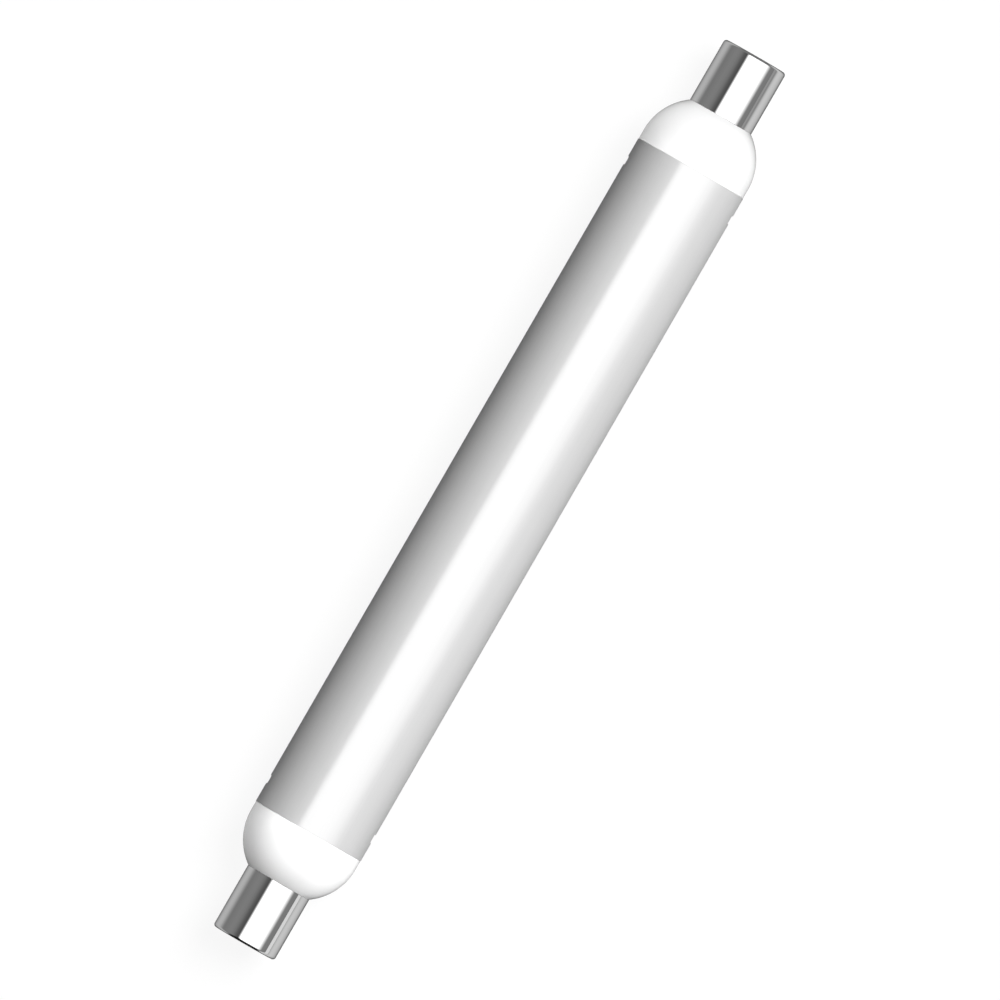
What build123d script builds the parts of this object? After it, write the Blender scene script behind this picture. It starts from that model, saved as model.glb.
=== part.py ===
from build123d import *
from math import acos, cos, degrees, sin, sqrt
import os

# Double-ended tubular strip lamp: a satin light tube, plugged at each end by a white domed housing that
# carries a drawn metal cap. The lamp lies along X with the middle of its axis at the origin, and all
# sizes are in millimetres.

# The whole lamp, from end face to end face
overall_length = 221.0

# Light tube: the visible sleeve, and the wall left round the socket at each end
tube_diameter = 26.15
tube_wall = 0.9
tube_edge_chamfer = 0.12

# End housing: one moulding with a domed shoulder, a straight land just below the tube's surface up to
# the seam, a neck for the cap and a spigot for the tube
land_step = 0.075
land_length = 2.25
seam_edge_chamfer = 0.15
spigot_length = 9.0
spigot_wall = 1.0
spigot_clearance = 0.1
spigot_end_gap = 0.3
neck_end_gap = 1.95
neck_wall = 1.2
neck_clearance = 0.08
lead_in = 0.4

# Snap windows in the tube, and the lugs on sprung tongues of the spigot that catch in them
window_setback = 5.45
window_length = 2.0
window_width = 5.0
lug_clearance = 0.1
lug_recess = 0.25
lug_flat_length = 1.4
tongue_width = 6.4
tongue_length = 7.6
tongue_slot_width = 0.8

# Cap ferrule: a cup drawn from sheet, with a pressed dimple round the hole in its end
ferrule_diameter = 15.2
ferrule_length = 15.15
ferrule_wall = 0.3
ferrule_edge_radius = 0.7
dimple_diameter = 5.2
dimple_depth = 0.8
contact_hole_diameter = 1.6

# Solder drop that joins the lead wire to the ferrule and stays just below its end face
solder_diameter = 3.2
solder_flat_diameter = 1.8
solder_recess = 0.1
solder_hole_clearance = 0.05
solder_tail = 0.5

# Radii that follow from the diameters
tube_radius = tube_diameter / 2
socket_radius = tube_radius - tube_wall
housing_radius = tube_radius - land_step
spigot_radius = socket_radius - spigot_clearance
bore_radius = spigot_radius - spigot_wall
ferrule_radius = ferrule_diameter / 2
neck_radius = ferrule_radius - ferrule_wall - neck_clearance
neck_bore_radius = neck_radius - neck_wall
dimple_radius = dimple_diameter / 2
contact_hole_radius = contact_hole_diameter / 2

# Stations along the lamp, each counted from its end face towards its middle
neck_front = ferrule_wall + neck_end_gap
shoulder = ferrule_length
dome_centre = shoulder + sqrt(housing_radius**2 - ferrule_radius**2)
seam = dome_centre + land_length
spigot_end = seam + spigot_length
socket_floor = spigot_end + spigot_end_gap
window_centre = seam + window_setback
dimple_back = dimple_depth + ferrule_wall


def end_plane(side):
    """Plane through the axis at one end: its x runs inwards from the end face, its y is the radius."""
    return Plane(origin=(side * overall_length / 2, 0, 0), x_dir=(-side, 0, 0), z_dir=(0, side, 0))


def end_face_plane(side):
    """Plane of the end face: its z runs inwards, its x is Y of the lamp."""
    return Plane(origin=(side * overall_length / 2, 0, 0), x_dir=(0, 1, 0), z_dir=(-side, 0, 0))


def make_light_tube():
    """The sealed tube: solid between the sockets that take the two housings."""
    with BuildPart() as tube:
        with BuildSketch(Plane.YZ):
            Circle(tube_radius)
        extrude(amount=overall_length / 2 - seam, both=True)
        chamfer(tube.edges().filter_by(GeomType.CIRCLE), tube_edge_chamfer)
        for side in (-1, 1):
            inwards = end_face_plane(side)
            with BuildSketch(inwards.offset(seam)):
                Circle(socket_radius)
            extrude(amount=socket_floor - seam, mode=Mode.SUBTRACT)
            with BuildSketch(inwards.offset(window_centre - window_length / 2)):
                Rectangle(2 * tube_diameter, window_width)
            extrude(amount=window_length, mode=Mode.SUBTRACT)
    return tube.part


def make_end_housings():
    """The two end housings: turned shells, each with two lugs on tongues cut free in its spigot."""
    side = 1
    with BuildPart() as housings:
        # Section: the dome outside, and inside it a core that two cones keep close to the dome's curve
        with BuildSketch(end_plane(side)) as section:
            with BuildLine():
                dome = CenterArc((dome_centre, 0), housing_radius, 90,
                                 degrees(acos(ferrule_radius / housing_radius)))
                core_angle = acos(neck_bore_radius / bore_radius)
                cone_ends = [(dome_centre - bore_radius * sin(angle), bore_radius * cos(angle))
                             for angle in (core_angle, core_angle / 2, 0)]
                Polyline(dome @ 1,
                         (shoulder, neck_radius),
                         (neck_front + lead_in, neck_radius),
                         (neck_front, neck_radius - lead_in),
                         (neck_front, neck_bore_radius),
                         *cone_ends,
                         (spigot_end, bore_radius),
                         (spigot_end, spigot_radius - lead_in),
                         (spigot_end - lead_in, spigot_radius),
                         (seam, spigot_radius),
                         (seam, housing_radius),
                         dome @ 0)
            make_face()
            seam_corner = section.vertices().sort_by_distance((seam, housing_radius))[0]
            chamfer(seam_corner, seam_edge_chamfer)
        revolve(axis=Axis.X)

        # Slots each side of the two tongues, open at the spigot's end
        slot_offset = (tongue_width + tongue_slot_width) / 2
        with BuildSketch(end_face_plane(side).offset(spigot_end - tongue_length)):
            with Locations((0, slot_offset), (0, -slot_offset)):
                Rectangle(2 * tube_diameter, tongue_slot_width)
        extrude(amount=tongue_length, mode=Mode.SUBTRACT)

        # Lugs: square where they catch the window's edge, ramped where they enter the tube
        lug_start = window_centre - window_length / 2 + lug_clearance
        lug_end = window_centre + window_length / 2 - lug_clearance
        lug_root = spigot_radius - spigot_wall / 2
        lug_top = tube_radius - lug_recess
        lug_plane = Plane(origin=(side * overall_length / 2, 0, 0), x_dir=(-side, 0, 0), z_dir=(0, 0, 1))
        for across in (-1, 1):
            with BuildSketch(lug_plane):
                with BuildLine():
                    Polyline((lug_start, across * lug_root),
                             (lug_start, across * lug_top),
                             (lug_start + lug_flat_length, across * lug_top),
                             (lug_end, across * spigot_radius),
                             (lug_end, across * lug_root),
                             close=True)
                make_face()
            extrude(amount=window_width / 2 - lug_clearance, both=True)

        mirror(about=Plane.YZ)
    return housings.part


def make_cap_ferrule(side):
    """One ferrule: a thin cup with a rounded end edge, pressed in round its contact hole."""
    inner_radius = ferrule_radius - ferrule_wall
    with BuildPart() as ferrule:
        with BuildSketch(end_plane(side)) as section:
            with BuildLine():
                Polyline((shoulder, ferrule_radius),
                         (0, ferrule_radius),
                         (0, dimple_radius),
                         (dimple_depth, dimple_radius),
                         (dimple_depth, contact_hole_radius),
                         (dimple_back, contact_hole_radius),
                         (dimple_back, dimple_radius + ferrule_wall),
                         (ferrule_wall, dimple_radius + ferrule_wall),
                         (ferrule_wall, inner_radius),
                         (shoulder, inner_radius),
                         close=True)
            make_face()
            end_corner = section.vertices().sort_by_distance((0, ferrule_radius))[0]
            fillet(end_corner, ferrule_edge_radius)
        revolve(axis=Axis.X)
    return ferrule.part


def make_solder_contact(side):
    """One solder drop: flattened on top, wide on the dimple's floor, with its tail through the hole."""
    tail_radius = contact_hole_radius - solder_hole_clearance
    tail_end = dimple_back + solder_tail
    with BuildPart() as solder:
        with BuildSketch(end_plane(side)):
            with BuildLine():
                Polyline((solder_recess, 0),
                         (solder_recess, solder_flat_diameter / 2),
                         (dimple_depth, solder_diameter / 2),
                         (dimple_depth, tail_radius),
                         (tail_end, tail_radius),
                         (tail_end, 0),
                         close=True)
            make_face()
        revolve(axis=Axis.X)
    return solder.part


def save(name, piece):
    """Label one finished piece and write it as parts/NAME.step."""
    piece.label = name
    export_step(piece, f"parts/{name}.step")


os.makedirs("parts", exist_ok=True)
save("light_tube", make_light_tube())
save("end_housings", make_end_housings())
for side_name, side in (("left", -1), ("right", 1)):
    save(f"cap_ferrule_{side_name}", make_cap_ferrule(side))
    save(f"solder_contact_{side_name}", make_solder_contact(side))
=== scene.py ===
from math import acos, atan2, cos, pi, radians, sin, sqrt, tan

import bmesh
import bpy
from bpy.props import FloatProperty, FloatVectorProperty, IntProperty, PointerProperty
from mathutils import Matrix, Vector


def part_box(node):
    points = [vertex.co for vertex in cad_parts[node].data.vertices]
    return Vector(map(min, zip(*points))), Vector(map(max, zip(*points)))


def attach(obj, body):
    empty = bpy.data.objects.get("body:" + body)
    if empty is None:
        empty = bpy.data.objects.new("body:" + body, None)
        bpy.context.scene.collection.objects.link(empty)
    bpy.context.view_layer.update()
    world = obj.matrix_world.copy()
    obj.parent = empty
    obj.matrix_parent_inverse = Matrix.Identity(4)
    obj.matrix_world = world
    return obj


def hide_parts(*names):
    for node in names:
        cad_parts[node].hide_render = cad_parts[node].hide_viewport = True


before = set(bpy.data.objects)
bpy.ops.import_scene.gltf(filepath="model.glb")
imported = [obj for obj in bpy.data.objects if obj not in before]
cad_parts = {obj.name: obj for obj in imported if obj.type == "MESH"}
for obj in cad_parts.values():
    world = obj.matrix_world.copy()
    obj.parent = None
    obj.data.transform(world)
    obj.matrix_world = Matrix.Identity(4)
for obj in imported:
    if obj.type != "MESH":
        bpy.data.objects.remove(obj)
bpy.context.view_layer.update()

bl_info = {
    "name": "Tubular strip lamp",
    "version": (1, 0, 0),
    "blender": (4, 5, 0),
    "location": "View3D > Sidebar > Strip lamp",
    "description": "Dresses a double-ended strip lamp and sets up its studio",
    "category": "Object",
}

MM = 0.001
AXIS_POINT = 1e-6
ENDS = {"left": -1, "right": 1}


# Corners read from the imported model: their x is a station along the lamp, their y a radius

tube_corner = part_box("light_tube")[1]
housing_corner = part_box("end_housings")[1]
ferrule_start, ferrule_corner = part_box("cap_ferrule_right")


class LampSizes(bpy.types.PropertyGroup):
    """Sizes of the lamp's visible forms."""

    overall_length: FloatProperty(
        name="Overall length", description="Length over the end faces of the two caps",
        default=2 * ferrule_corner.x, min=0.05, unit="LENGTH", precision=5)
    tube_length: FloatProperty(
        name="Tube length", description="Length of the satin tube from seam to seam",
        default=2 * tube_corner.x, min=0.02, unit="LENGTH", precision=5)
    tube_radius: FloatProperty(
        name="Tube radius", description="Outer radius of the satin tube",
        default=tube_corner.y, min=0.002, unit="LENGTH", precision=5)
    tube_wall: FloatProperty(
        name="Tube wall", description="Wall of the tube round the sockets at its ends",
        default=0.9 * MM, min=0.0001, unit="LENGTH", precision=5)
    seam_edge: FloatProperty(
        name="Seam edge", description="Radius of the small round on both edges of a seam",
        default=0.05 * MM, min=0.00001, unit="LENGTH", precision=5)
    socket_depth: FloatProperty(
        name="Socket depth", description="Depth of the socket at each end of the tube",
        default=9.3 * MM, min=0.001, unit="LENGTH", precision=5)
    land_length: FloatProperty(
        name="Land length", description="Straight stretch between a housing's dome and the seam",
        default=2.25 * MM, min=0.0001, unit="LENGTH", precision=5)
    housing_radius: FloatProperty(
        name="Housing radius", description="Radius of a housing's dome",
        default=housing_corner.y, min=0.002, unit="LENGTH", precision=5)
    spigot_length: FloatProperty(
        name="Spigot length", description="Length of the spigot that plugs into the tube",
        default=9.0 * MM, min=0.001, unit="LENGTH", precision=5)
    spigot_clearance: FloatProperty(
        name="Spigot clearance", description="Gap between a spigot and its socket",
        default=0.1 * MM, min=0.0, unit="LENGTH", precision=5)
    spigot_wall: FloatProperty(
        name="Spigot wall", description="Wall of the spigot",
        default=1.0 * MM, min=0.0001, unit="LENGTH", precision=5)
    ferrule_radius: FloatProperty(
        name="Ferrule radius", description="Outer radius of a cap's ferrule",
        default=ferrule_corner.y, min=0.002, unit="LENGTH", precision=5)
    ferrule_length: FloatProperty(
        name="Ferrule length", description="Length of a ferrule from its end face to the dome",
        default=ferrule_corner.x - ferrule_start.x, min=0.002, unit="LENGTH", precision=5)
    ferrule_wall: FloatProperty(
        name="Ferrule wall", description="Thickness of the ferrule's sheet",
        default=0.3 * MM, min=0.00005, unit="LENGTH", precision=5)
    ferrule_edge: FloatProperty(
        name="Ferrule edge", description="Radius of the round at a ferrule's end edge",
        default=0.7 * MM, min=0.0001, unit="LENGTH", precision=5)
    dimple_radius: FloatProperty(
        name="Dimple radius", description="Radius of the dimple pressed into a ferrule's end",
        default=2.6 * MM, min=0.0005, unit="LENGTH", precision=5)
    dimple_depth: FloatProperty(
        name="Dimple depth", description="Depth of the dimple below the end face",
        default=0.8 * MM, min=0.0001, unit="LENGTH", precision=5)
    contact_hole_radius: FloatProperty(
        name="Contact hole radius", description="Radius of the hole that the lead wire comes through",
        default=0.8 * MM, min=0.0001, unit="LENGTH", precision=5)
    solder_radius: FloatProperty(
        name="Solder radius", description="Radius of a solder drop on the dimple's floor",
        default=1.6 * MM, min=0.0002, unit="LENGTH", precision=5)
    solder_recess: FloatProperty(
        name="Solder recess", description="How far a solder drop stays below the end face",
        default=0.1 * MM, min=0.0, unit="LENGTH", precision=5)
    window_setback: FloatProperty(
        name="Window setback", description="From a seam to the middle of its snap windows",
        default=5.45 * MM, min=0.001, unit="LENGTH", precision=5)
    window_length: FloatProperty(
        name="Window length", description="Length of a snap window along the tube",
        default=2.0 * MM, min=0.0001, unit="LENGTH", precision=5)
    window_width: FloatProperty(
        name="Window width", description="Width of a snap window across the tube",
        default=5.0 * MM, min=0.0001, unit="LENGTH", precision=5)
    segments: IntProperty(
        name="Segments", description="Steps round the axis of every turned piece",
        default=256, min=16, max=1024)


class LampColours(bpy.types.PropertyGroup):
    """Colours of the lamp's finishes."""

    tube: FloatVectorProperty(
        name="Tube", description="Silver-grey satin of the tube",
        default=(0.8, 0.8, 0.8), size=3, subtype="COLOR", min=0.0, max=1.0)
    housing: FloatVectorProperty(
        name="Housing", description="Gloss white of the moulded housings",
        default=(0.87, 0.87, 0.87), size=3, subtype="COLOR", min=0.0, max=1.0)
    chrome: FloatVectorProperty(
        name="Chrome", description="Bright plating of the caps",
        default=(0.555, 0.555, 0.555), size=3, subtype="COLOR", min=0.0, max=1.0)
    solder: FloatVectorProperty(
        name="Solder", description="Dull tin solder",
        default=(0.6, 0.6, 0.59), size=3, subtype="COLOR", min=0.0, max=1.0)


class StudioSettings(bpy.types.PropertyGroup):
    """Light and camera of the studio."""

    softbox_radiance: FloatProperty(
        name="Softbox radiance", description="Radiance of the panel that glossy surfaces mirror",
        default=2.15, min=0.0)
    key_power: FloatProperty(
        name="Key power", description="Power of the key light in watts",
        default=168.0, min=0.0)
    room_light: FloatProperty(
        name="Room light", description="Grey level of the room where it lights rough surfaces",
        default=0.03, min=0.0)
    fill_power: FloatProperty(
        name="Fill power", description="Power of each side light on the white housings in watts",
        default=4.4, min=0.0)
    view_width: FloatProperty(
        name="View width", description="Width of the picture where the lamp's axis lies",
        default=215.86 * MM, min=0.01, unit="LENGTH", precision=5)
    lens: FloatProperty(
        name="Lens", description="Focal length of the camera in millimetres",
        default=1000.0, min=50.0)
    roll: FloatProperty(
        name="Roll", description="Turn of the camera about its line of sight",
        default=radians(-60), subtype="ANGLE")


# Node building

class Socket:
    """One output of a node. Python arithmetic on it adds Math nodes to its tree."""

    def __init__(self, builder, output):
        self.builder = builder
        self.output = output

    def math(self, operation, *values):
        return self.builder.add("ShaderNodeMath", {"operation": operation}, values)

    def __add__(self, other):
        return self.math("ADD", self, other)

    def __radd__(self, other):
        return self.math("ADD", other, self)

    def __sub__(self, other):
        return self.math("SUBTRACT", self, other)

    def __rsub__(self, other):
        return self.math("SUBTRACT", other, self)

    def __mul__(self, other):
        return self.math("MULTIPLY", self, other)

    def __rmul__(self, other):
        return self.math("MULTIPLY", other, self)

    def __truediv__(self, other):
        return self.math("DIVIDE", self, other)

    def __rtruediv__(self, other):
        return self.math("DIVIDE", other, self)

    def __pow__(self, other):
        return self.math("POWER", self, other)

    def __gt__(self, other):
        return self.math("GREATER_THAN", self, other)

    def __abs__(self):
        return self.math("ABSOLUTE", self)

    def floor(self):
        return self.math("FLOOR", self)

    def step(self, low, high):
        """0 below low and 1 above high, with a smooth slope between them."""
        return self.builder.add("ShaderNodeMapRange", {"interpolation_type": "SMOOTHSTEP"},
                                {"Value": self, "From Min": low, "From Max": high})

    def other(self, name):
        """Another output of the same node."""
        return Socket(self.builder, self.output.node.outputs[name])


class Builder:
    """Adds nodes to one tree."""

    def __init__(self, tree):
        self.tree = tree
        tree.nodes.clear()

    def add(self, kind, settings=None, values=(), output=None):
        """Make one node, set it and fill its sockets by name or in order. Returns its first live output."""
        node = self.tree.nodes.new(kind)
        for name, value in (settings or {}).items():
            if name == "stops":
                for place, colour in value[2:]:
                    node.color_ramp.elements.new(place)
                for element, (place, colour) in zip(node.color_ramp.elements, value):
                    element.position = place
                    element.color = (*[colour] * 3, 1) if isinstance(colour, float) else (*colour, 1)
            else:
                setattr(node, name, value)
        pairs = values.items() if isinstance(values, dict) else enumerate(values)
        for key, value in pairs:
            if isinstance(value, Socket):
                self.tree.links.new(value.output, node.inputs[key])
            else:
                node.inputs[key].default_value = value
        live = [socket for socket in node.outputs if socket.enabled]
        if output is not None:
            return Socket(self, node.outputs[output])
        return Socket(self, live[0]) if live else node

    def split(self, vector):
        """The three parts of a vector."""
        parts = self.add("ShaderNodeSeparateXYZ", {}, [vector])
        return parts, parts.other("Y"), parts.other("Z")

    def vector(self, x, y, z):
        return self.add("ShaderNodeCombineXYZ", {}, [x, y, z])

    def mix(self, factor, low, high):
        """Colour between low and high."""
        node = self.add("ShaderNodeMix", {"data_type": "RGBA"}, {"Factor": factor}, "Result").output.node
        sockets = [s for s in node.inputs if s.type == "RGBA"]
        for socket, value in zip(sockets, (low, high)):
            if isinstance(value, Socket):
                self.tree.links.new(value.output, socket)
            else:
                socket.default_value = (*value, 1)
        return Socket(self, next(s for s in node.outputs if s.type == "RGBA"))


# Finishes

def new_material(name):
    """A material with an emptied tree, and its builder."""
    material = bpy.data.materials.new(name)
    material.use_nodes = True
    return material, Builder(material.node_tree)


def surface(builder, **inputs):
    """Ends a tree in one Principled shader. Underscores in the names stand for spaces."""
    values = {name.replace("_", " "): value for name, value in inputs.items()}
    shader = builder.add("ShaderNodeBsdfPrincipled", {}, values)
    builder.add("ShaderNodeOutputMaterial", {}, {"Surface": shader})


def object_noise(builder, scale, stretch=(1, 1, 1), detail=2.0):
    """Noise on Object coordinates, with cells of 1/scale metres that stretch along each axis."""
    place = builder.add("ShaderNodeTexCoord", output="Object")
    cell = builder.add("ShaderNodeMapping", {}, {"Vector": place, "Scale": [1 / s for s in stretch]})
    return builder.add("ShaderNodeTexNoise", {}, {"Vector": cell, "Scale": scale, "Detail": detail})


def bump(builder, height, distance, strength=1.0):
    return builder.add("ShaderNodeBump", {}, {"Height": height, "Distance": distance, "Strength": strength})


def satin_finish(colours):
    """Tube: silver-grey satin with a fine grain and faint draw lines, under a clear skin."""
    material, builder = new_material("tube_satin")
    lines = object_noise(builder, 1500, stretch=(120, 1, 1))
    grain = object_noise(builder, 4000)
    facing = builder.add("ShaderNodeLayerWeight", {}, {"Blend": 0.5}, "Facing")
    low = [0.97 * c for c in colours.tube]
    high = [1.03 * c for c in colours.tube]
    surface(builder,
            Base_Color=builder.mix(0.7 * lines + 0.3 * grain, low, high),
            Roughness=0.48 + 0.06 * grain,
            Metallic=0.12,
            Specular_IOR_Level=0.12,
            Coat_Weight=(1 - facing) ** 3,
            Coat_Roughness=0.04,
            Coat_IOR=1.75,
            Normal=bump(builder, 0.8 * lines + 0.2 * grain, 0.002 * MM))
    return material


def moulded_finish(colours):
    """Housings: gloss white moulding with a trace of ripple and a skin that shines at a grazing angle."""
    material, builder = new_material("housing_gloss_white")
    ripple = object_noise(builder, 400)
    speck = object_noise(builder, 3000)
    facing = builder.add("ShaderNodeLayerWeight", {}, {"Blend": 0.5}, "Facing")
    low = [0.985 * c for c in colours.housing]
    surface(builder,
            Base_Color=builder.mix(speck, low, colours.housing),
            Roughness=0.2 + 0.06 * speck,
            Specular_IOR_Level=0.3,
            Coat_Weight=facing ** 4,
            Coat_Roughness=0.04,
            Coat_IOR=1.9,
            Normal=bump(builder, ripple, 0.004 * MM))
    return material


def chrome_finish(colours):
    """Ferrules: bright plating on sheet that was polished round its axis."""
    material, builder = new_material("cap_chrome")
    rings = object_noise(builder, 6000, stretch=(1, 60, 60))
    haze = object_noise(builder, 250)
    low = [0.97 * c for c in colours.chrome]
    surface(builder,
            Base_Color=builder.mix(haze, low, colours.chrome),
            Metallic=1.0,
            Roughness=0.04 + 0.03 * haze * rings,
            Normal=bump(builder, rings, 0.0004 * MM))
    return material


def solder_finish(colours):
    """Contacts: dull tin with a skin of flux residue."""
    material, builder = new_material("contact_solder")
    skin = object_noise(builder, 1800, detail=4.0)
    low = [0.7 * c for c in colours.solder]
    surface(builder,
            Base_Color=builder.mix(skin, low, colours.solder),
            Metallic=0.9,
            Roughness=0.35 + 0.25 * skin,
            Normal=bump(builder, skin, 0.04 * MM))
    return material


# Sections: lists of points (distance from the end face or the middle, radius)

def rounded(corners, closed, arc_step=radians(12)):
    """Points of a section whose corners (x, r, round) get an arc of their own radius."""
    points = []
    count = len(corners)
    for index, (x, r, radius) in enumerate(corners):
        here = Vector((x, r))
        if radius == 0 or (not closed and index in (0, count - 1)):
            points.append(here)
            continue
        back = (Vector(corners[index - 1][:2]) - here).normalized()
        ahead = (Vector(corners[(index + 1) % count][:2]) - here).normalized()
        half = back.angle(ahead) / 2
        centre = here + (back + ahead).normalized() * radius / sin(half)
        start = here + back * radius / tan(half) - centre
        end = here + ahead * radius / tan(half) - centre
        turn = atan2(start.x * end.y - start.y * end.x, start.dot(end))
        steps = max(2, round(abs(turn) / arc_step))
        points += [centre + Matrix.Rotation(turn * k / steps, 2) @ start for k in range(steps + 1)]
    return points


def supported(points, closed, reach=0.15 * MM):
    """The same section with a support point near both ends of each long straight run."""
    out = []
    pairs = list(zip(points, points[1:] + points[:1]))
    for a, b in pairs if closed else pairs[:-1]:
        out.append(a)
        run = b - a
        if run.length > 4 * reach:
            out += [a + run.normalized() * reach, b - run.normalized() * reach]
    return out + [points[0] if closed else points[-1]]


def section_object(name, points):
    """A section as an object of loose edges, x along the lamp and the radius up."""
    mesh = bpy.data.meshes.new(name)
    edges = [(i, i + 1) for i in range(len(points) - 1)]
    mesh.from_pydata([(x, 0, r) for x, r in points], edges, [])
    section = bpy.data.objects.new(name, mesh)
    bpy.context.scene.collection.objects.link(section)
    return section


def at_end(points, side, sizes):
    """Points counted inwards from an end face, moved to that end and kept running towards +X outside."""
    moved = [Vector((side * (sizes.overall_length / 2 - x), r)) for x, r in points]
    return moved if side > 0 else moved[::-1]


# Turned pieces

def new_tree(name, inputs):
    """A geometry tree with named inputs of given types and defaults. Returns builder and input sockets."""
    tree = bpy.data.node_groups.new(name, "GeometryNodeTree")
    builder = Builder(tree)
    tree.interface.new_socket("Geometry", in_out="INPUT", socket_type="NodeSocketGeometry")
    tree.interface.new_socket("Geometry", in_out="OUTPUT", socket_type="NodeSocketGeometry")
    for label, (kind, default) in inputs.items():
        socket = tree.interface.new_socket(label, in_out="INPUT", socket_type=kind)
        if default is not None:
            socket.default_value = default
    source = tree.nodes.new("NodeGroupInput")
    return builder, {socket.name: Socket(builder, socket) for socket in source.outputs if socket.name}


def turned(builder, section, segments):
    """Sweeps a section's points round the X axis, closed at its seam and on the axis."""
    rows = builder.add("GeometryNodeAttributeDomainSize", {"component": "MESH"}, [section])
    columns = segments + 1
    grid = builder.add("GeometryNodeMeshGrid", {}, {"Vertices X": rows, "Vertices Y": columns})
    index = builder.add("GeometryNodeInputIndex")
    row = ((index + 0.5) / columns).floor()
    angle = (index - row * columns) * (2 * pi) / segments
    place = builder.add("GeometryNodeInputPosition")
    point = builder.add("GeometryNodeSampleIndex", {"data_type": "FLOAT_VECTOR", "clamp": True},
                        {"Geometry": section, "Value": place, "Index": row})
    x, _, radius = builder.split(point)
    swept = builder.vector(x, radius * angle.math("SINE", angle), radius * angle.math("COSINE", angle))
    shell = builder.add("GeometryNodeSetPosition", {}, {"Geometry": grid, "Position": swept})
    return builder.add("GeometryNodeMergeByDistance", {}, {"Geometry": shell, "Distance": AXIS_POINT})


def finished(builder, geometry, material, sharp=radians(35)):
    """Smooth faces, sharp edges where the surface turns hard, realized, with its material."""
    smooth = builder.add("GeometryNodeSetShadeSmooth", {"domain": "FACE"},
                         {"Geometry": geometry, "Shade Smooth": True})
    bend = builder.add("GeometryNodeInputMeshEdgeAngle")
    crisp = builder.add("GeometryNodeSetShadeSmooth", {"domain": "EDGE"},
                        {"Geometry": smooth, "Selection": bend > sharp, "Shade Smooth": False})
    solid = builder.add("GeometryNodeRealizeInstances", {}, [crisp])
    dressed = builder.add("GeometryNodeSetMaterial", {}, {"Geometry": solid, "Material": material})
    builder.add("NodeGroupOutput", {}, [dressed])


def boxes(builder, count, size, place):
    """A row of like boxes, each centred where place says, as one mesh."""
    box = builder.add("GeometryNodeMeshCube", {}, {"Size": size})
    points = builder.add("GeometryNodePoints", {}, {"Count": count, "Position": place})
    copies = builder.add("GeometryNodeInstanceOnPoints", {}, {"Points": points, "Instance": box})
    return builder.add("GeometryNodeRealizeInstances", {}, [copies])


def plain_piece(name, section, tree, inputs, node):
    """Runs the tree on a section, keeps the result as a plain mesh and puts it in place of its node."""
    modifier = section.modifiers.new(name, "NODES")
    modifier.node_group = tree
    identifiers = {s.name: s.identifier for s in tree.interface.items_tree if s.in_out == "INPUT"}
    for label, value in inputs.items():
        modifier[identifiers[label]] = value
    graph = bpy.context.evaluated_depsgraph_get()
    mesh = bpy.data.meshes.new_from_object(section.evaluated_get(graph), depsgraph=graph)
    bpy.data.objects.remove(section)
    mesh.name = name
    piece = bpy.data.objects.new(name, mesh)
    bpy.context.scene.collection.objects.link(piece)
    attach(piece, "root")
    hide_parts(node)
    return piece


def prism(name, outline, half_width):
    """A solid with an outline of (x, y) points, as deep as twice half_width along Z."""
    shape = bmesh.new()
    rings = [[shape.verts.new((x, y, z)) for x, y in outline] for z in (-half_width, half_width)]
    shape.faces.new(rings[0])
    shape.faces.new(rings[1][::-1])
    count = len(outline)
    for i in range(count):
        j = (i + 1) % count
        shape.faces.new((rings[0][i], rings[1][i], rings[1][j], rings[0][j]))
    bmesh.ops.recalc_face_normals(shape, faces=shape.faces)
    mesh = bpy.data.meshes.new(name)
    shape.to_mesh(mesh)
    shape.free()
    solid = bpy.data.objects.new(name, mesh)
    bpy.context.scene.collection.objects.link(solid)
    return solid


def turned_tree(name):
    """A tree that only turns a section."""
    builder, group = new_tree(name, {
        "Segments": ("NodeSocketInt", 256),
        "Material": ("NodeSocketMaterial", None)})
    finished(builder, turned(builder, group["Geometry"], group["Segments"]), group["Material"])
    return builder.tree


class DressTube(bpy.types.Operator):
    """Turn the satin tube, with its sockets and snap windows"""

    bl_idname = "strip_lamp.tube"
    bl_label = "Satin tube"

    def execute(self, context):
        sizes = context.scene.lamp_sizes
        builder, group = new_tree("turned_tube", {
            "Segments": ("NodeSocketInt", 256),
            "Window length": ("NodeSocketFloat", 0.002),
            "Window width": ("NodeSocketFloat", 0.005),
            "Window station": ("NodeSocketFloat", 0.077),
            "Tube radius": ("NodeSocketFloat", 0.013),
            "Material": ("NodeSocketMaterial", None)})
        shell = turned(builder, group["Geometry"], group["Segments"])
        index = builder.add("GeometryNodeInputIndex")
        end = 1 - 2 * (index / 2).floor()
        across = 1 - 2 * index.math("MODULO", index, 2)
        cutters = boxes(builder, 4,
                        builder.vector(group["Window length"], group["Tube radius"], group["Window width"]),
                        builder.vector(end * group["Window station"], across * group["Tube radius"], 0))
        cut = builder.add("GeometryNodeMeshBoolean", {"operation": "DIFFERENCE", "solver": "EXACT"},
                          {"Mesh 1": shell, "Mesh 2": cutters})
        finished(builder, cut, group["Material"])

        half = sizes.tube_length / 2
        floor = half - sizes.socket_depth
        outer = sizes.tube_radius
        socket = outer - sizes.tube_wall
        edge = sizes.seam_edge
        corners = [(-floor, 0, 0), (-floor, socket, 0), (-half, socket, edge), (-half, outer, edge),
                   (half, outer, edge), (half, socket, edge), (floor, socket, 0), (floor, 0, 0)]
        points = supported(rounded(corners, closed=False), closed=False)
        plain_piece("satin_tube", section_object("tube_section", points), builder.tree, {
            "Segments": sizes.segments,
            "Window length": sizes.window_length,
            "Window width": sizes.window_width,
            "Window station": half - sizes.window_setback,
            "Tube radius": outer,
            "Material": satin_finish(context.scene.lamp_colours)}, "light_tube")
        return {"FINISHED"}


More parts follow.
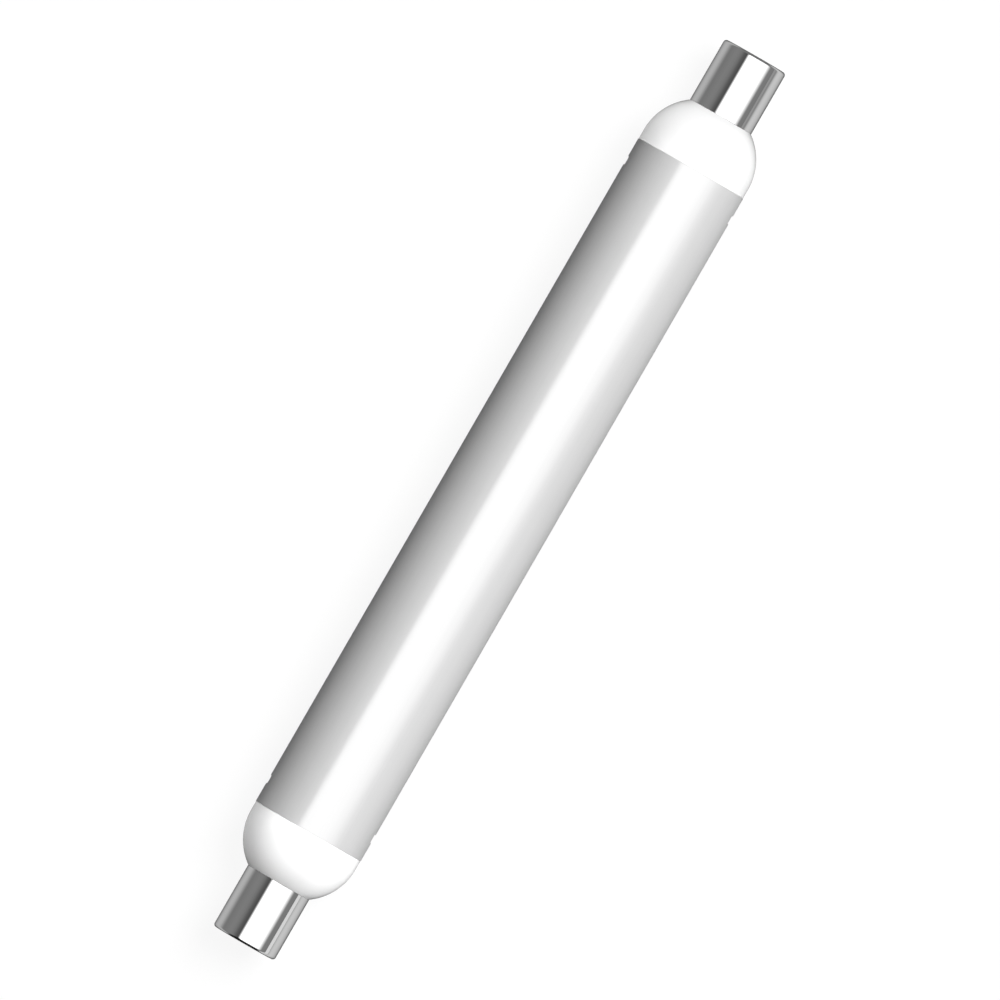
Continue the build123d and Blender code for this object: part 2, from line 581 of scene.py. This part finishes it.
class DressHousings(bpy.types.Operator):
    """Turn the two domed end housings, with tongues and snap lugs on their spigots"""

    bl_idname = "strip_lamp.housings"
    bl_label = "End housings"

    def execute(self, context):
        sizes = context.scene.lamp_sizes
        tongue_length = 7.6 * MM
        tongue_width = 6.4 * MM
        slot_width = 0.8 * MM
        lug_clearance = 0.1 * MM
        lug_recess = 0.25 * MM
        lug_flat = 1.4 * MM
        neck_end_gap = 1.95 * MM
        neck_clearance = 0.08 * MM
        neck_wall = 1.2 * MM
        lead_in = 0.4 * MM
        material = moulded_finish(context.scene.lamp_colours)

        dome_radius = sizes.housing_radius
        spigot_radius = sizes.tube_radius - sizes.tube_wall - sizes.spigot_clearance
        bore = spigot_radius - sizes.spigot_wall
        neck = sizes.ferrule_radius - sizes.ferrule_wall - neck_clearance
        neck_bore = neck - neck_wall
        neck_front = sizes.ferrule_wall + neck_end_gap
        shoulder = sizes.ferrule_length
        centre = shoulder + sqrt(dome_radius**2 - sizes.ferrule_radius**2)
        seam = centre + sizes.land_length
        spigot_end = seam + sizes.spigot_length
        dome_turn = acos(sizes.ferrule_radius / dome_radius)
        core_turn = acos(neck_bore / bore)
        dome_steps = 36
        core_steps = 18

        def arc(radius, turn, steps):
            """Points of a dome's quarter arc, from its equator towards the cap."""
            return [(centre - radius * sin(turn * k / steps), radius * cos(turn * k / steps), 0)
                    for k in range(steps + 1)]

        corners = [
            (spigot_end, bore, 0), (spigot_end, spigot_radius - lead_in, 0),
            (spigot_end - lead_in, spigot_radius, 0), (seam, spigot_radius, 0),
            (seam, dome_radius, sizes.seam_edge),
            *arc(dome_radius, dome_turn, dome_steps),
            (shoulder, neck, 0), (neck_front + lead_in, neck, 0), (neck_front, neck - lead_in, 0),
            (neck_front, neck_bore, 0), *arc(bore, core_turn, core_steps)[::-1]]
        points = supported(rounded(corners, closed=True), closed=True)

        builder, group = new_tree("turned_housing", {
            "Segments": ("NodeSocketInt", 256),
            "End": ("NodeSocketFloat", 1.0),
            "Slot middle": ("NodeSocketFloat", 0.07),
            "Slot length": ("NodeSocketFloat", 0.0076),
            "Slot width": ("NodeSocketFloat", 0.0008),
            "Slot offset": ("NodeSocketFloat", 0.0036),
            "Reach": ("NodeSocketFloat", 0.05),
            "Lug": ("NodeSocketObject", None),
            "Material": ("NodeSocketMaterial", None)})
        shell = turned(builder, group["Geometry"], group["Segments"])
        index = builder.add("GeometryNodeInputIndex")
        across = 1 - 2 * index
        slots = boxes(builder, 2,
                      builder.vector(group["Slot length"], group["Reach"], group["Slot width"]),
                      builder.vector(group["End"] * group["Slot middle"], 0, across * group["Slot offset"]))
        slotted = builder.add("GeometryNodeMeshBoolean", {"operation": "DIFFERENCE", "solver": "EXACT"},
                              {"Mesh 1": shell, "Mesh 2": slots})
        lug = builder.add("GeometryNodeObjectInfo", {}, {"Object": group["Lug"]}, "Geometry")
        points_at_axis = builder.add("GeometryNodePoints", {}, {"Count": 2})
        turn = builder.vector(index * pi, 0, 0)
        pair = builder.add("GeometryNodeInstanceOnPoints", {},
                           {"Points": points_at_axis, "Instance": lug, "Rotation": turn})
        lugs = builder.add("GeometryNodeRealizeInstances", {}, [pair])
        joined = builder.add("GeometryNodeMeshBoolean", {"operation": "UNION", "solver": "EXACT"},
                             {"Mesh 2": slotted})
        builder.tree.links.new(lugs.output, joined.output.node.inputs["Mesh 2"])
        finished(builder, joined, group["Material"])

        window = seam + sizes.window_setback
        lug_start = window - sizes.window_length / 2 + lug_clearance
        lug_end = window + sizes.window_length / 2 - lug_clearance
        lug_root = spigot_radius - sizes.spigot_wall / 2
        lug_top = sizes.tube_radius - lug_recess
        lug_outline = [(lug_start, lug_root), (lug_start, lug_top), (lug_start + lug_flat, lug_top),
                       (lug_end, spigot_radius), (lug_end, lug_root)]
        lug_half_width = sizes.window_width / 2 - lug_clearance
        slot_middle = sizes.overall_length / 2 - spigot_end + tongue_length / 2
        for end_name, side in ENDS.items():
            lug = prism(f"lug_{end_name}", at_end(lug_outline, side, sizes), lug_half_width)
            section = section_object(f"housing_section_{end_name}", at_end(points, side, sizes))
            plain_piece(f"domed_housing_{end_name}", section, builder.tree, {
                "Segments": sizes.segments,
                "End": side,
                "Slot middle": slot_middle,
                "Slot length": tongue_length,
                "Slot width": slot_width,
                "Slot offset": (tongue_width + slot_width) / 2,
                "Reach": 4 * sizes.tube_radius,
                "Lug": lug,
                "Material": material}, "end_housings")
            bpy.data.objects.remove(lug)
        return {"FINISHED"}


class DressFerrules(bpy.types.Operator):
    """Turn the two drawn cap ferrules"""

    bl_idname = "strip_lamp.ferrules"
    bl_label = "Cap ferrules"

    def execute(self, context):
        sizes = context.scene.lamp_sizes
        tree = turned_tree("turned_ferrule")
        material = chrome_finish(context.scene.lamp_colours)
        wall = sizes.ferrule_wall
        edge = sizes.ferrule_edge
        bend = 0.15 * MM
        rim = 0.1 * MM
        outer = sizes.ferrule_radius
        dimple = sizes.dimple_radius
        hole = sizes.contact_hole_radius
        floor = sizes.dimple_depth
        back = floor + wall
        corners = [
            (sizes.ferrule_length, outer, rim), (0, outer, edge),
            (0, dimple, bend + wall), (floor, dimple, bend), (floor, hole, 0), (back, hole, 0),
            (back, dimple + wall, bend + wall), (wall, dimple + wall, bend),
            (wall, outer - wall, edge - wall), (sizes.ferrule_length, outer - wall, rim)]
        points = supported(rounded(corners, closed=True), closed=True)
        for end_name, side in ENDS.items():
            section = section_object(f"ferrule_section_{end_name}", at_end(points, side, sizes))
            plain_piece(f"chrome_ferrule_{end_name}", section, tree,
                        {"Segments": sizes.segments, "Material": material},
                        f"cap_ferrule_{end_name}")
        return {"FINISHED"}


class DressContacts(bpy.types.Operator):
    """Turn the two solder drops"""

    bl_idname = "strip_lamp.contacts"
    bl_label = "Solder contacts"

    def execute(self, context):
        sizes = context.scene.lamp_sizes
        tree = turned_tree("turned_contact")
        material = solder_finish(context.scene.lamp_colours)
        flat = 0.9 * MM
        soft = 0.35 * MM
        hole_clearance = 0.05 * MM
        tail_length = 0.5 * MM
        tail = sizes.contact_hole_radius - hole_clearance
        tail_end = sizes.dimple_depth + sizes.ferrule_wall + tail_length
        corners = [(tail_end, 0, 0), (tail_end, tail, 0), (sizes.dimple_depth, tail, 0),
                   (sizes.dimple_depth, sizes.solder_radius, 0), (sizes.solder_recess, flat, soft),
                   (sizes.solder_recess, 0, 0)]
        points = supported(rounded(corners, closed=False), closed=False)
        for end_name, side in ENDS.items():
            section = section_object(f"contact_section_{end_name}", at_end(points, side, sizes))
            plain_piece(f"solder_drop_{end_name}", section, tree,
                        {"Segments": sizes.segments, "Material": material},
                        f"solder_contact_{end_name}")
        return {"FINISHED"}


# Stage

def floor_finish(half_length):
    """Pale floor: white to the camera, with the lamp's shadow. In reflections it glows with a painted grey
    that changes with the distance from the lamp's axis and past the lamp's ends: a painted shadow near the
    axis, a painted lit side towards -Y, a painted shaded side towards +Y and painted shade past the ends."""
    material, builder = new_material("studio_floor")
    path = builder.add("ShaderNodeLightPath", output="Is Camera Ray")
    mirrored = path.other("Is Glossy Ray")
    place = builder.add("ShaderNodeTexCoord", output="Object")
    x, y, _ = builder.split(place)
    log_millimetres = y.math("LOGARITHM", abs(y) / MM + 1, 10)
    away = log_millimetres / 2.8
    # Painted reflection of the floor on the shaded side: a painted shadow near the lamp's axis, paler
    # further out
    shaded = builder.add("ShaderNodeValToRGB", {"stops": [
        (0.0, 0.03), (0.36, 0.06), (0.416, 0.3), (0.472, 0.61), (0.52, 0.745), (0.567, 0.76), (0.62, 0.7),
        (0.694, 0.535), (0.819, 0.37), (1.0, 0.33)]}, {"Fac": away})
    # The same painted reflection on the lit side, with its painted shadow near the axis
    lit = builder.add("ShaderNodeValToRGB", {"stops": [
        (0.0, 0.03), (0.36, 0.06), (0.416, 0.25), (0.472, 0.68), (0.52, 0.88), (0.567, 0.97), (0.62, 1.0),
        (0.694, 0.88), (0.819, 0.46), (1.0, 0.4)]}, {"Fac": away})
    # Painted shaded side where y > 0 and painted lit side where y < 0
    painted_floor_shade = builder.mix(y > 0, lit, shaded)
    # Painted shade in the reflection past the lamp's ends, darker past the left end than past the right
    beyond_ends = ((abs(x) - half_length) / (abs(y) + MM)).step(1.2, 2.2)
    painted_floor_shade = builder.mix(beyond_ends, painted_floor_shade, builder.mix(x > 0, (0.03,) * 3, (0.25,) * 3))
    paint = builder.add("ShaderNodeBsdfDiffuse", {}, {"Color": (0.1, 0.1, 0.1, 1)})
    white = builder.add("ShaderNodeEmission", {}, {"Color": (1, 1, 1, 1), "Strength": 0.92})
    seen = builder.add("ShaderNodeAddShader", {}, [paint, white])
    # The floor glows with this painted grey where glossy rays see it, though it is no lamp
    painted_reflection_glow = builder.add("ShaderNodeEmission", {}, {"Color": painted_floor_shade})
    dark = builder.add("ShaderNodeBsdfDiffuse", {}, {"Color": (0.08, 0.08, 0.08, 1)})
    rough = builder.add("ShaderNodeMixShader", {}, [mirrored, dark, painted_reflection_glow])
    shown = builder.add("ShaderNodeMixShader", {}, [path, rough, seen])
    builder.add("ShaderNodeOutputMaterial", {}, {"Surface": shown})
    return material


def panel_finish(radiance, soft_left, soft_right, half_width):
    """Softbox cloth that fades at its long sides and glows more towards its left one."""
    material, builder = new_material("softbox_cloth")
    place = builder.add("ShaderNodeTexCoord", output="Object")
    _, y, _ = builder.split(place)
    left = (half_width - y).step(0, soft_left)
    right = (y + half_width).step(0, soft_right)
    leftwards = y.math("MAXIMUM", y, 0) / half_width
    glow = builder.add("ShaderNodeEmission", {}, {"Strength": radiance * (1 + 0.7 * leftwards)})
    clear = builder.add("ShaderNodeBsdfTransparent")
    cloth = builder.add("ShaderNodeMixShader", {}, [left * right, clear, glow])
    builder.add("ShaderNodeOutputMaterial", {}, {"Surface": cloth})
    return material


def flat_stage(name, half_x, half_y, material):
    """A flat stage piece in its own XY plane."""
    mesh = bpy.data.meshes.new(name)
    corners = [(-half_x, -half_y, 0), (half_x, -half_y, 0), (half_x, half_y, 0), (-half_x, half_y, 0)]
    mesh.from_pydata(corners, [], [(0, 1, 2, 3)])
    mesh.materials.append(material)
    sheet = bpy.data.objects.new(name, mesh)
    bpy.context.scene.collection.objects.link(sheet)
    return sheet


def hang_light(name, place, size, power, mirrored=False):
    """A round area light that points at the lamp, and says whether the lamp's gloss mirrors it."""
    data = bpy.data.lights.new(name, "AREA")
    data.shape = "DISK"
    data.size = size
    data.energy = power
    light = bpy.data.objects.new(name, data)
    bpy.context.scene.collection.objects.link(light)
    light.location = place
    light.rotation_euler = place.to_track_quat("Z", "Y").to_euler()
    light.visible_glossy = mirrored
    return light


class SetStudio(bpy.types.Operator):
    """Lay the floor, hang the softbox, colour the room and place the camera"""

    bl_idname = "strip_lamp.studio"
    bl_label = "Studio"

    def execute(self, context):
        scene = context.scene
        sizes = scene.lamp_sizes
        studio = scene.studio_settings
        floor = flat_stage("floor", 4.0, 4.0, floor_finish(sizes.overall_length / 2))
        floor.location.z = -sizes.tube_radius

        distance = 1.5
        tilt = radians(20)
        half_angle = radians(46.5)
        fade_left = radians(14)
        fade_right = radians(20)
        half_across = distance * tan(half_angle)
        soft_left = half_across - distance * tan(half_angle - fade_left)
        soft_right = half_across - distance * tan(half_angle - fade_right)
        cloth = panel_finish(studio.softbox_radiance, soft_left, soft_right, half_across)
        softbox = flat_stage("softbox", 1.2, half_across, cloth)
        softbox.rotation_euler.x = tilt
        softbox.location = distance * Vector((0, -sin(tilt), cos(tilt)))
        softbox.visible_camera = False
        softbox.visible_diffuse = False
        softbox.visible_shadow = False

        for name, middle, height, half_height, strength in (("card_low", -0.15, 0.0047, 0.0177, 1.2),
                                                            ("card_high", 0.15, 0.0153, 0.0102, 0.51)):
            cloth, builder = new_material(f"{name}_cloth")
            glow = builder.add("ShaderNodeEmission", {}, {"Strength": strength})
            builder.add("ShaderNodeOutputMaterial", {}, {"Surface": glow})
            card = flat_stage(name, 0.15, half_height, cloth)
            card.rotation_euler.x = radians(90)
            card.location = (middle, -0.15, height)
            card.visible_camera = False
            card.visible_diffuse = False
            card.visible_shadow = False

        key_distance = 4
        hang_light("key", Vector((0.342, -0.265, 0.902)) * key_distance, 2.2, studio.key_power)
        lit = {}
        for which, end_names in (("both", tuple(ENDS)), ("left", ("left",)), ("right", ("right",))):
            lit[which] = bpy.data.collections.new(f"white_housings_{which}")
            for end_name in end_names:
                lit[which].objects.link(bpy.data.objects[f"domed_housing_{end_name}"])
        for name, which, place, size, share in (
                ("fill_left", "both", (0, 0.94, 0.34), 0.6, 0.82),
                ("fill_right", "both", (0, -0.98, 0.17), 0.6, 0.34),
                ("fill_low_end", "left", (0, -0.62, 0.78), 0.6, 1.5),
                ("fill_high_end", "right", (-0.5, -0.64, 0.58), 0.6, 1.05),
                ("fill_shoulder", "right", (0.98, 0, 0.17), 0.6, 0.4),
                ("gloss_left", "both", (0, 0.927, 0.375), 0.45, 0.28)):
            fill = hang_light(name, Vector(place), size, share * studio.fill_power, name == "gloss_left")
            fill.light_linking.receiver_collection = lit[which]

        world = bpy.data.worlds.new("studio_room")
        world.use_nodes = True
        builder = Builder(world.node_tree)
        path = builder.add("ShaderNodeLightPath", output="Is Camera Ray")
        glossy = path.other("Is Glossy Ray")
        way = builder.add("ShaderNodeTexCoord", output="Generated")
        x, y, z = builder.split(way)
        turned_by = (z.math("ARCTAN2", abs(y), z)) / (pi / 2)
        wall = builder.add("ShaderNodeValToRGB", {"stops": [
            (0.0, 0.1), (0.33, 0.138), (0.4, 0.18), (0.5, 0.29), (0.6, 0.345), (0.72, 0.36), (0.86, 0.335),
            (1.0, 0.31)]}, {"Fac": turned_by})
        end_wall = builder.mix(x > 0, (0.02,) * 3, (0.3,) * 3)
        endways = (abs(x) / (abs(y) + 0.001)).step(0.7, 1.5)
        wall = builder.mix(abs(x).step(0.25, 0.55) * endways, wall, end_wall)
        room = builder.mix(glossy, (studio.room_light,) * 3, wall)
        shown = builder.mix(path, room, (1, 1, 1))
        background = builder.add("ShaderNodeBackground", {}, {"Color": shown})
        builder.add("ShaderNodeOutputWorld", {}, {"Surface": background})
        scene.world = world

        camera_data = bpy.data.cameras.new("camera")
        camera_data.lens = studio.lens
        camera_data.sensor_width = 36.0
        away = studio.lens / camera_data.sensor_width * studio.view_width
        camera_data.clip_end = 10 * away
        camera = bpy.data.objects.new("camera", camera_data)
        scene.collection.objects.link(camera)
        right = Vector((cos(studio.roll), sin(studio.roll), 0))
        up = Vector((-sin(studio.roll), cos(studio.roll), 0))
        aim_right, aim_up = 0.086 * MM, -0.078 * MM
        camera.location = aim_right * right + aim_up * up + Vector((0, 0, away))
        camera.rotation_euler = (0, 0, studio.roll)
        scene.camera = camera
        scene.view_settings.view_transform = "Standard"
        return {"FINISHED"}


class StripLampPanel(bpy.types.Panel):
    """Lists the lamp's pieces and its sizes, colours and studio"""

    bl_idname = "VIEW3D_PT_strip_lamp"
    bl_label = "Strip lamp"
    bl_space_type = "VIEW_3D"
    bl_region_type = "UI"
    bl_category = "Strip lamp"

    def draw(self, context):
        for operator in OPERATORS:
            self.layout.operator(operator.bl_idname)
        for group in (context.scene.lamp_sizes, context.scene.lamp_colours, context.scene.studio_settings):
            box = self.layout.box()
            for name in group.bl_rna.properties.keys():
                if name not in ("rna_type", "name"):
                    box.prop(group, name)


GROUPS = {"lamp_sizes": LampSizes, "lamp_colours": LampColours, "studio_settings": StudioSettings}
OPERATORS = (DressTube, DressHousings, DressFerrules, DressContacts, SetStudio)


def register():
    for attribute, group in GROUPS.items():
        bpy.utils.register_class(group)
        setattr(bpy.types.Scene, attribute, PointerProperty(type=group))
    for kind in (*OPERATORS, StripLampPanel):
        bpy.utils.register_class(kind)


def unregister():
    for kind in (StripLampPanel, *reversed(OPERATORS)):
        bpy.utils.unregister_class(kind)
    for attribute, group in GROUPS.items():
        delattr(bpy.types.Scene, attribute)
        bpy.utils.unregister_class(group)


def main():
    register()
    bpy.ops.strip_lamp.tube()
    bpy.ops.strip_lamp.housings()
    bpy.ops.strip_lamp.ferrules()
    bpy.ops.strip_lamp.contacts()
    bpy.ops.strip_lamp.studio()


if __name__ == "__main__":
    main()
